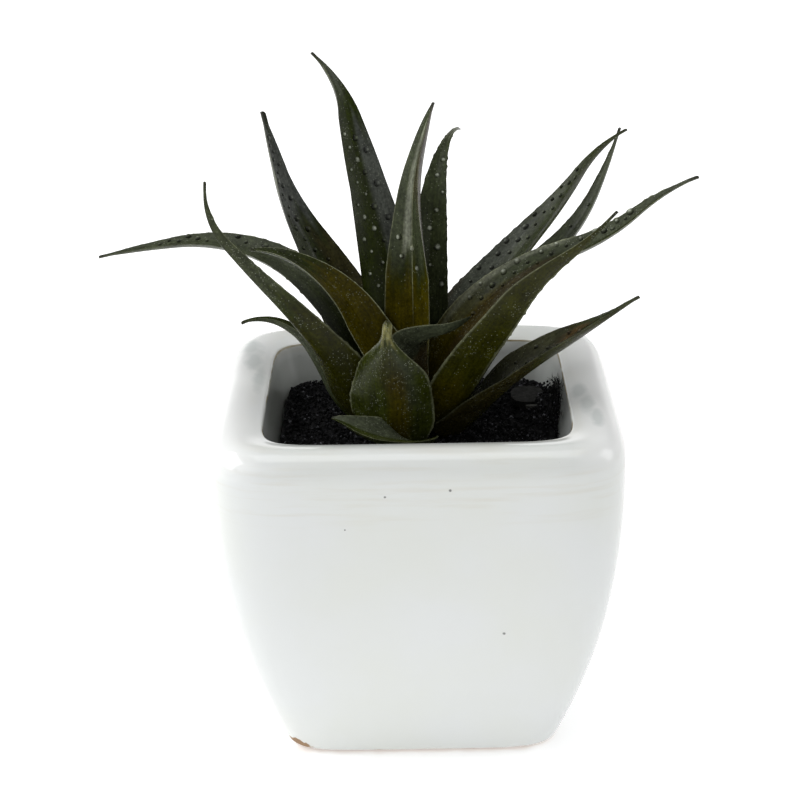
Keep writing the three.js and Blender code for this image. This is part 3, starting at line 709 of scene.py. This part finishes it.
# Pot.
def crowded(value):
    """Draws a ring's points towards its corners."""
    return np.sign(value) * np.abs(value) ** CORNER_CROWDING


def plan_ring(half_width, squareness, heights, count=PLAN_POINTS):
    """A ring on a rounded square. heights is a number or a function of x and y."""
    angle = (np.arange(count) + 0.5) / count * 2 * np.pi
    direction = np.arctan2(crowded(np.sin(angle)), crowded(np.cos(angle)))
    spread = np.abs(np.cos(direction)) ** squareness + np.abs(np.sin(direction)) ** squareness
    radius = half_width / spread ** (1 / squareness)
    x = radius * np.cos(direction)
    y = radius * np.sin(direction)
    z = heights(x, y) if callable(heights) else np.full(count, float(heights))
    return np.stack((x, y, z), 1)


def outer_half_width(z):
    below = max(POT_WIDEST_Z - z, 0.0) / POT_WIDEST_Z
    return POT_HALF_WIDTH - (POT_HALF_WIDTH - POT_FOOT_HALF_WIDTH) * below**2


def inner_half_width(z):
    lip_foot = POT_HEIGHT - RIM_FALL - LIP_ROUND
    flare = max(z - FLARE_START_Z, 0.0) / (lip_foot - FLARE_START_Z)
    return min(lerp(INSIDE_HALF_WIDTH, OPENING_HALF_WIDTH, flare), outer_half_width(z) - WALL)


def pot_profile():
    """Half width, height, squareness, and 1 on the buff lip line or -1 on the inside, which
    takes painted shade.
    """
    profile = []
    for bend in np.linspace(0, 90, 9):
        angle = math.radians(bend)
        z = FOOT_ROUND * (1 - math.cos(angle))
        width = outer_half_width(z) - FOOT_ROUND * (1 - math.sin(angle))
        profile.append((width, z, POT_SQUARENESS, 0))
    for z in np.linspace(3.0, POT_HEIGHT - RIM_ROUND_DOWN - 1.0, 26):
        profile.append((outer_half_width(z), z, POT_SQUARENESS, 0))
    for bend in np.linspace(0, 90, 17):
        angle = math.radians(bend)
        z = POT_HEIGHT - RIM_ROUND_DOWN * (1 - math.sin(angle))
        width = POT_HALF_WIDTH - RIM_ROUND_INWARDS * (1 - math.cos(angle))
        profile.append((width, z, POT_SQUARENESS, 0))
    crown = POT_HALF_WIDTH - RIM_ROUND_INWARDS
    edge = OPENING_HALF_WIDTH + LIP_ROUND
    for share in np.linspace(0.12, 0.97, 9):
        squareness = lerp(POT_SQUARENESS, OPENING_SQUARENESS, share)
        z = POT_HEIGHT - RIM_FALL * share**RIM_FALL_BEND
        profile.append((lerp(crown, edge, share), z, squareness, 0))
    lip_low, lip_high = LIP_LINE_DEGREES
    for bend in np.linspace(10, 90, 7):
        angle = math.radians(bend)
        z = POT_HEIGHT - RIM_FALL - LIP_ROUND * (1 - math.cos(angle))
        width = edge - LIP_ROUND * math.sin(angle)
        profile.append((width, z, OPENING_SQUARENESS, lip_low < bend < lip_high))
    for z in (56.5, 54.0, FLARE_START_Z, 40.0, 28.0, 16.0, 9.0):
        profile.append((inner_half_width(z), z, OPENING_SQUARENESS, -1))
    profile.append((inner_half_width(FLOOR_Z) - 3.0, FLOOR_Z, OPENING_SQUARENESS, -1))
    return profile


def make_pot(material):
    """The tint's red marks the buff lip line and its green the inside, which takes painted
    shade.
    """
    profile = pot_profile()
    rings = [plan_ring(width, squareness, z) for width, z, squareness, _ in profile]
    tints = [np.tile((part == 1, part < 0, 0, 1), (PLAN_POINTS, 1)) for *_, part in profile]
    faces = capped_loft(len(rings), PLAN_POINTS)
    pot = make_object(
        "glazed_pot", np.concatenate(rings), faces, material, np.concatenate(tints))
    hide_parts("pot")
    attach(pot, "root")


# Grit.
def soil_height(x, y):
    dip = SOIL_DIP * np.exp(-((np.hypot(x, y) / SOIL_DIP_RADIUS) ** 2))
    heap_x = (x - SOIL_HEAP["x"]) / SOIL_HEAP["width_x"]
    heap_y = (y - SOIL_HEAP["y"]) / SOIL_HEAP["width_y"]
    heap = SOIL_HEAP["height"] * np.exp(-(heap_x**2) - heap_y**2)
    waves = np.sin(1.9 * x + 0.7 * y) + np.sin(2.3 * y - 0.9 * x + 1)
    return SOIL_Z - dip + heap + SOIL_WAVES * waves


def grain_shape():
    """An octahedron with its faces turned outwards."""
    corners = np.stack((np.eye(3), -np.eye(3)), 1).reshape(6, 3)
    faces = []
    for x in (0, 1):
        for y in (2, 3):
            for z in (4, 5):
                turned = (x + y + z) % 2 == 0
                faces.append((x, y, z) if turned else (x, z, y))
    return corners, faces


def random_turn():
    """A random turn about the origin, as a matrix."""
    turn = np.linalg.qr(rng.normal(size=(3, 3)))[0]
    return turn * np.sign(np.linalg.det(turn))


def grey_tint(shade, blue):
    return shade, shade, shade * blue, 1.0


def soil_bed():
    """Points of the grit's uneven surface and of a block under it."""
    half = INSIDE_HALF_WIDTH - SOIL_WALL_GAP
    rings = [plan_ring(half, OPENING_SQUARENESS, SOIL_Z - SOIL_DEPTH)]
    for share in np.linspace(1.0, 0.02, SOIL_RINGS):
        squareness = lerp(2.0, OPENING_SQUARENESS, share**2)
        ring = plan_ring(half * share, squareness, soil_height)
        ring[:, 2] += rng.normal(0, SOIL_UNEVENNESS, PLAN_POINTS)
        rings.append(ring)
    return np.concatenate(rings), capped_loft(len(rings), PLAN_POINTS)


def clump_place(half):
    """A random place on the right wall, over the heap."""
    y = rng.normal(SOIL_HEAP["y"], 5.0)
    z = min(soil_height(half, y) + abs(rng.normal(0, 0.6)), CLUMP_TOP_Z)
    return inner_half_width(z) - CLUMP_WALL_GAP - abs(rng.normal(0, 0.25)), y, z


def add_grains(pieces):
    corners, triangles = grain_shape()
    half = INSIDE_HALF_WIDTH - SOIL_WALL_GAP
    for number in range(GRAIN_COUNT + CLUMP_GRAINS):
        x, y = rng.uniform(GRAIN_WALL_GAP - half, half - GRAIN_WALL_GAP, 2)
        z = soil_height(x, y) + rng.uniform(0.0, 0.3)
        if number >= GRAIN_COUNT:
            x, y, z = clump_place(half)
        elif abs(x / half) ** OPENING_SQUARENESS + abs(y / half) ** OPENING_SQUARENESS > 0.96:
            continue
        size = rng.uniform(*GRAIN_SIZES)
        spread = rng.uniform(0.7, 1.3, (6, 1))
        grain = (corners * spread * size) @ random_turn()
        shade = rng.choice(GRAIN_SHADES, p=GRAIN_SHADE_ODDS)
        pieces.add(grain + (x, y, z), triangles, grey_tint(shade, 1.12))


def add_fibres(pieces):
    corners, triangles = grain_shape()
    for _ in range(FIBRE_COUNT):
        y = rng.normal(SOIL_HEAP["y"] - 1.0, 3.5)
        z = min(soil_height(INSIDE_HALF_WIDTH, y) + rng.uniform(0.2, 3.4), FIBRE_TOP_Z)
        x = inner_half_width(z) - rng.uniform(0.2, 1.4)
        turn = random_turn()
        size = (FIBRE_THICKNESS, FIBRE_THICKNESS, rng.uniform(*FIBRE_LENGTHS))
        spike = (corners * size) @ turn
        spike[:, 0] = np.minimum(spike[:, 0], FIBRE_REACH)
        pieces.add(spike + (x, y, z), triangles, grey_tint(FIBRE_SHADE, 0.9))


def add_plates(pieces):
    for plate in (SLAB, SLIVER):
        rim = plan_ring(1.0, PLATE_SQUARENESS, 0.0, PLATE_POINTS) * (*plate["size"], 1.0)
        rim = rim + plate["place"]
        points = np.concatenate((rim - (0, 0, plate["thick"]), rim))
        pieces.add(points, capped_loft(2, PLATE_POINTS), grey_tint(plate["shade"], 0.9))


def make_soil(material):
    pieces = Pieces()
    pieces.add(*soil_bed(), SOIL_COLOUR)
    add_grains(pieces)
    add_fibres(pieces)
    add_plates(pieces)
    soil = pieces.make("grit", material, smooth=False)
    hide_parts("soil")
    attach(soil, "root")


# Leaves.
def along(values, share):
    return np.interp(share, np.linspace(0, 1, len(values)), values)


def blade_axes(leaf, share):
    """Unit directions along the blade, across it and out of its inner face."""
    turn = np.radians(along(leaf["turn"], share))
    lift = np.radians(along(leaf["lift"], share))
    roll = np.radians(along(leaf["roll"], share))
    level = np.stack((np.cos(turn), np.sin(turn), 0 * turn), -1)
    side = np.stack((-np.sin(turn), np.cos(turn), 0 * turn), -1)
    up = np.array((0.0, 0.0, 1.0))
    forward = level * np.cos(lift)[..., None] + up * np.sin(lift)[..., None]
    normal = np.cross(forward, side)
    across = side * np.cos(roll)[..., None] + normal * np.sin(roll)[..., None]
    return forward, across, np.cross(forward, across)


def midrib(leaf, share):
    """Points of the midrib at shares of its length."""
    middles = (np.arange(MIDRIB_STEPS) + 0.5) / MIDRIB_STEPS
    forward, _, _ = blade_axes(leaf, middles)
    walked = np.vstack((np.zeros(3), np.cumsum(forward, 0))) * leaf["length"] / MIDRIB_STEPS
    turn = math.radians(leaf["turn"][0])
    radius, height = leaf["root"]
    start = np.array((radius * math.cos(turn), radius * math.sin(turn), height))
    ends = np.linspace(0, 1, MIDRIB_STEPS + 1)
    return start + np.stack([np.interp(share, ends, line) for line in walked.T], -1)


def half_width(leaf, share):
    """Half the blade's width at shares of its length, with a rounded tip."""
    opened = lerp(BLADE_ROOT_SHARE, 1, smoothstep(0, BLADE_FLARE_END, share))
    drawn_in = (1 - share ** leaf["full"]) ** leaf["taper"]
    drawn_in = drawn_in * (1 - leaf["neck"] * smoothstep(*BLADE_NECK, share))
    closing = np.clip(1 - (1 - share) * leaf["length"] / leaf["tip"], 0, 0.97)
    rounded = np.sqrt(1 - closing**2)
    return np.maximum(leaf["width"] / 2 * opened * drawn_in, leaf["tip"]) * rounded


def thickness(share, column):
    middle = np.maximum(BLADE_THICKNESS * (1 - share) ** BLADE_THINNING, BLADE_THINNEST)
    return middle * (1 - np.abs(column) ** BLADE_KEEL) ** BLADE_EDGE


def blade_surface(leaf, share, column, inner, wave=0.0, keel=0.0):
    """Points of the inner or outer face at shares of the length and columns from -1 to 1.

    wave moves the margins outwards, and keel raises the outer face.
    """
    _, across, face = blade_axes(leaf, share)
    middle = midrib(leaf, share)
    half = half_width(leaf, share)
    reach = column * half + np.sign(column) * wave
    height = half * BLADE_CUP * np.abs(column) ** BLADE_CREASE
    if not inner:
        height = height - thickness(share, column) - keel
    return middle + across * reach[..., None] + face * height[..., None]


def margin_teeth(length, share):
    """How far the margin stands out at each share: a slow wave and small uneven teeth."""
    place = share * length
    stands = np.sin(place * 1.1 + rng.uniform(0, 6)) * np.sin(place * 0.43 + 1.0) * MARGIN_WAVE
    first, last = TOOTHED_SHARE
    tooth = length * first
    while tooth < length * last:
        high = rng.uniform(*TOOTH_HEIGHTS)
        near = 1 - np.abs(place - tooth) / TOOTH_WIDTH
        stands = np.maximum(stands, high * np.clip(near, 0, 1))
        tooth += TOOTH_SPACING * rng.uniform(0.45, 1.6)
    return stands


def band(value, low, high, soft):
    """1 between low and high, with soft edges."""
    risen = smoothstep(low - soft, low + soft, value)
    return risen * (1 - smoothstep(high - soft, high + soft, value))


def leaf_tint(name, share, column, inner):
    """Linear colour of each point, with the amount of dust as its alpha."""
    look = LOOKS.get(name, PLAIN_LOOK)
    colours = {key: np.array(value) for key, value in COLOURS.items()}
    uneven = share + 0.03 * np.sin(7 * column + 11 * share) + 0.02 * np.sin(17 * column + 1)
    gold = 1 - smoothstep(look["gold"] - 0.13, look["gold"] + 0.05, uneven)[..., None]
    if inner:
        colour = lerp(colours["green"], colours["gold"], gold)
    else:
        colour = lerp(colours["outer green"], colours["olive"], gold)
    face = "inner" if inner else "outer"
    soft_along, soft_across = PATCH_SOFTNESS
    # Patches of colour, some of them painted sheen and highlights.
    for leaf_name, patch_face, patch_colour, strength, along_blade, across_blade in PATCHES:
        if (leaf_name, patch_face) != (name, face):
            continue
        shown = band(uneven, *along_blade, soft_along) * band(column, *across_blade, soft_across)
        colour = lerp(colour, colours[patch_colour], (shown * strength)[..., None])
    edge = smoothstep(*MARGIN_COLUMNS, np.abs(column))[..., None]
    margin = colours["dark edge"]
    if look["edge"] > 0:
        margin = colours["edge"] * max(look["edge"], 1)
    colour = lerp(colour, margin, edge * min(abs(look["edge"]), 1))
    line = (np.abs(column) < KEEL_COLUMN / 2) * band(share, *KEEL_LINE)
    line = line * look.get("fold" if inner else "keel", 0)
    colour = lerp(colour, colours["edge"], line[..., None])
    tip = smoothstep(*TIP_SHARES, share)[..., None] * TIP_STRENGTH
    colour = lerp(colour, colours["tip"], tip)
    dust = np.full(colour.shape[:-1] + (1,), look["dust"])
    return np.concatenate((colour, dust), -1)


def tubercle_places(leaf):
    """Share and column of each tubercle."""
    places = []
    for i in range(leaf["bumps"]):
        share = lerp(*leaf["bump_span"], (i + 0.5) / leaf["bumps"])
        column = lerp(*leaf["bump_band"], TUBERCLE_ROWS[i % len(TUBERCLE_ROWS)])
        places.append((share, column))
    return places


def tubercle_mesh(name, leaf, place, radius):
    """A smooth dome that stands on the blade, in a ring of painted shade, with a painted
    highlight towards its top.
    """
    share, column = (np.array(value) for value in place)
    centre = blade_surface(leaf, share, column, True)
    forward, _, face = blade_axes(leaf, share)
    sideways = np.cross(forward, face)
    points = []
    for spread, rise in TUBERCLE_RINGS:
        for i in range(TUBERCLE_SIDES):
            angle = 2 * math.pi * i / TUBERCLE_SIDES
            flat = forward * math.cos(angle) + sideways * math.sin(angle)
            points.append(centre + flat * spread * radius + face * rise * TUBERCLE_HEIGHT)
    faces = capped_loft(len(TUBERCLE_RINGS), TUBERCLE_SIDES)
    # Painted shade darkens the tubercle's foot, and a painted highlight whitens its top.
    pale_sheen = column > LOOKS.get(name, PLAIN_LOOK).get("highlight_from", 2.0)
    steps = HIGHLIT_TUBERCLE_PAINT if pale_sheen else SHADED_TUBERCLE_PAINT
    painted_ring_shade, highlight_share = (np.repeat(values, TUBERCLE_SIDES)[:, None] for values in steps)
    blade_colour = leaf_tint(name, share, column, True) * (1, 1, 1, 0)
    top_highlight = np.array((*COLOURS["tubercle highlight"], 0.0))
    return np.array(points), faces, lerp(blade_colour * painted_ring_shade, top_highlight, highlight_share)


def blade_grid(leaf):
    """Shares of the length for the rings, and columns for the points of each face."""
    ring_count = max(round(leaf["length"] / BLADE_RING_SPACING), BLADE_FEWEST_RINGS)
    near_tip = leaf["tip"] / leaf["length"] * np.array(TIP_RINGS)
    shares = np.unique(np.concatenate((np.linspace(0, 1, ring_count), 1 - near_tip)))
    columns = np.sin(np.linspace(-0.5, 0.5, BLADE_COLUMNS) * math.pi)
    columns = np.unique(np.concatenate((columns, (-KEEL_COLUMN, KEEL_COLUMN))).round(6))
    return shares, columns


def make_leaf(name, leaf, material):
    shares, columns = blade_grid(leaf)
    share, column = np.meshgrid(shares, columns, indexing="ij")
    look = LOOKS.get(name, PLAIN_LOOK)
    wave = np.zeros_like(column)
    for side in (0, -1):
        wave[:, side] = margin_teeth(leaf["length"], shares) * look["teeth"]
    keel = np.zeros_like(column)
    ridge = KEEL_HEIGHT * look.get("keel", 0.0) * band(shares, *KEEL_RIDGE)
    uneven = margin_teeth(leaf["length"], shares) * KEEL_ROUGHNESS
    keel[:, len(columns) // 2] = ridge * (1 + uneven)
    # Where the veins of this leaf begin in the pattern that all leaves share.
    vein_start = rng.uniform(0, 100)
    reach = column * half_width(leaf, share)
    place = np.stack((share * leaf["length"] + vein_start, reach, np.zeros_like(share)), -1)
    # One closed loop a ring: across the inner face and back across the outer one.
    both_faces = (
        (blade_surface(leaf, share, column, True, wave),
         blade_surface(leaf, share, column, False, wave, keel)),
        (leaf_tint(name, share, column, True), leaf_tint(name, share, column, False)),
        (place, place))
    loops, tints, places = (
        np.concatenate((inner, outer[:, -2:0:-1]), 1) for inner, outer in both_faces)
    pieces = Pieces()
    faces = [tuple(reversed(face)) for face in capped_loft(*loops.shape[:2])]
    pieces.add(loops.reshape(-1, 3), faces, tints.reshape(-1, 4))
    places = [places.reshape(-1, 3)]
    for tubercle in tubercle_places(leaf):
        radius = lerp(*TUBERCLE_RADII, rng.uniform() ** TUBERCLE_SMALLNESS)
        dome, dome_faces, dome_tints = tubercle_mesh(name, leaf, tubercle, radius)
        pieces.add(dome, dome_faces, dome_tints)
        places.append(dome)
    made = pieces.make(name + "_blade", material, blade=np.concatenate(places))
    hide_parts(name)
    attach(made, "root")


# Floor, light and surroundings.
def make_floor():
    paint = Painter("floor")
    paint.connect("Base Color", paint.mix(paint.noise(3.0), *FLOOR_COLOURS))
    paint.set("Roughness", 0.9)
    paint.set("Emission Color", (1.0, 1.0, 1.0, 1.0))
    split = paint.add("ShaderNodeSeparateXYZ", {0: paint.place})
    glow = paint.ranged(split.outputs["Y"], *FAR_TABLE, TABLE_GLOW, FAR_TABLE_GLOW)
    paint.connect("Emission Strength", glow)
    corners = np.array(((-1, -1, 0), (1, -1, 0), (1, 1, 0), (-1, 1, 0))) * FLOOR_REACH
    floor = make_object("floor", corners, [(0, 1, 2, 3)], paint.material)
    floor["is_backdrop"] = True


def make_softbox(name, place, size, watts):
    data = bpy.data.lights.new(name, "AREA")
    data.shape = "RECTANGLE"
    data.size, data.size_y = size
    data.energy = watts
    lamp = bpy.data.objects.new(name, data)
    bpy.context.scene.collection.objects.link(lamp)
    away = Vector(place) - Vector(SOFTBOX_AIM)
    turn = away.to_track_quat("Z", "Y").to_matrix().to_4x4()
    lamp.matrix_world = Matrix.Translation(place) @ turn


def make_surroundings():
    """A white band round the horizon, dimmer to the sides and above."""
    world = bpy.data.worlds.new("studio")
    bpy.context.scene.world = world
    world.use_nodes = True
    nodes = world.node_tree.nodes
    links = world.node_tree.links
    place = nodes.new("ShaderNodeTexCoord")
    split = nodes.new("ShaderNodeSeparateXYZ")
    links.new(place.outputs["Generated"], split.inputs[0])

    def math_node(operation, first, second=0.0):
        node = nodes.new("ShaderNodeMath")
        node.operation = operation
        for socket, value in zip(node.inputs, (first, second)):
            if isinstance(value, bpy.types.NodeSocket):
                links.new(value, socket)
            else:
                socket.default_value = value
        return node.outputs[0]

    def ramp(value, low, high, to_low, to_high):
        node = nodes.new("ShaderNodeMapRange")
        links.new(value, node.inputs["Value"])
        for socket, number in zip(node.inputs[1:5], (low, high, to_low, to_high)):
            socket.default_value = number
        return node.outputs["Result"]

    near_horizon = ramp(split.outputs["Z"], *HORIZON_SPAN, HORIZON_LIGHT, 0.0)
    sideways = math_node("ABSOLUTE", split.outputs["X"])
    dimmer = ramp(sideways, *SIDE_SPAN, 1.0, SIDE_LIGHT)
    strength = math_node("ADD", math_node("MULTIPLY", near_horizon, dimmer), SKY_LIGHT)
    links.new(strength, nodes["Background"].inputs["Strength"])
    nodes["Background"].inputs["Color"].default_value = (1.0, 1.0, 1.0, 1.0)


bpy.context.scene.view_settings.view_transform = "Standard"
make_camera()
make_pot(glaze_material())
make_soil(grit_material())
leaf_paint = leaf_material()
for leaf_name, leaf_values in LEAVES.items():
    make_leaf(leaf_name, leaf_values, leaf_paint)
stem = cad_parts["stem"]
stem.data.materials.clear()
stem.data.materials.append(stem_material())
make_floor()
make_surroundings()
for softbox in SOFTBOXES:
    make_softbox(*softbox)

boxes = {"cad": cad_box, "visual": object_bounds()}
boxes = {key: [[float(v) for v in corner] for corner in box] for key, box in boxes.items()}
